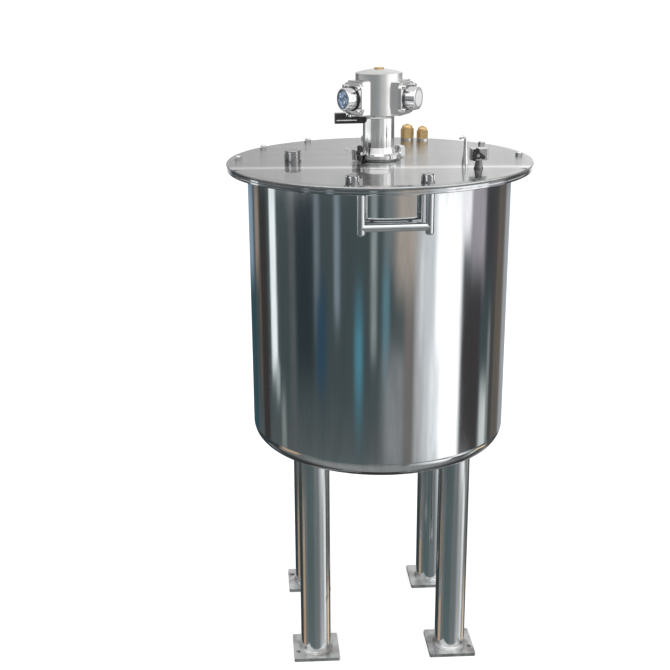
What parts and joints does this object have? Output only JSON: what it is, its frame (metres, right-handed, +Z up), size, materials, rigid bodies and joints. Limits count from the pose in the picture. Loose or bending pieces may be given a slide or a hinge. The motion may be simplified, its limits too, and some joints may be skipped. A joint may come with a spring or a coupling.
{
  "type": "mixing tank",
  "caption": "Upright closed drum on tube legs with foot plates, bolted flat lid, lid fittings, carrying handles and a radial air motor for the stirrer inside.",
  "frame": {"origin": "on the floor, under the drum's axis", "axes": "+Z up; -Y is the front, where the first handle is; +X to the right seen from the front"},
  "size_m": [0.58, 0.58, 1.1503],
  "materials": {
    "polished_steel": "mirror polished stainless",
    "bright_fittings": "bright turned and plated",
    "cast_alloy": "satin casting",
    "brass": "dull brass",
    "black_rubber": "moulded",
    "black_plastic": "moulded",
    "dark_steel": "blackened",
    "window_glass": "clear domed disc over a blue-grey face"
  },
  "bodies": {
    "tank": {"air_valve_bar": "black_plastic", "air_valve_screw": "bright_fittings", "air_valve_spool": "bright_fittings", "back_handle": "polished_steel", "bottom_head": "polished_steel", "brass_cap_left": "brass", "brass_cap_right": "brass", "brass_cap_washers": "bright_fittings", "breather_post": "bright_fittings", "cap_gasket_back": "black_rubber", "cap_gasket_left": "black_rubber", "cap_gasket_right": "black_rubber", "cap_window": "window_glass", "clamp_back_half": "bright_fittings", "clamp_bolt": "bright_fittings", "clamp_front_half": "bright_fittings", "clamp_hinge": "bright_fittings", "clamp_wing_nut": "dark_steel", "cylinder_cap_back": "bright_fittings", "cylinder_cap_left": "bright_fittings", "cylinder_cap_right": "bright_fittings", "cylinder_head_back": "cast_alloy", "cylinder_head_left": "cast_alloy", "cylinder_head_right": "cast_alloy", "drum_wall": "polished_steel", "foot_plate_back_left": "polished_steel", "foot_plate_back_right": "polished_steel", "foot_plate_front_left": "polished_steel", "foot_plate_front_right": "polished_steel", "front_handle": "polished_steel", "front_port_plugs": "bright_fittings", "impeller": "polished_steel", "left_port_plug": "bright_fittings", "leg_back_left": "polished_steel", "leg_back_right": "polished_steel", "leg_front_left": "polished_steel", "leg_front_right": "polished_steel", "lid": "polished_steel", "lid_ferrule": "bright_fittings", "motor_body": "cast_alloy", "motor_neck": "cast_alloy", "motor_top_cover": "cast_alloy", "motor_top_plug": "brass", "outlet_ferrule": "polished_steel", "rim_flange": "polished_steel", "rim_gasket": "black_rubber", "rim_nuts": "bright_fittings", "stirrer_shaft": "polished_steel", "vent_neck": "dark_steel", "vent_valve_body": "bright_fittings"},
    "vent_knob": {"vent_handle": "black_plastic"}
  },
  "joints": [
    {"name": "vent_knob_turn", "type": "hinge", "parent": "tank", "child": "vent_knob", "pos_m": [0.161, -0.15, 1.0065], "axis": [0, -1, 0], "range_deg": [0, 90]}
  ]
}
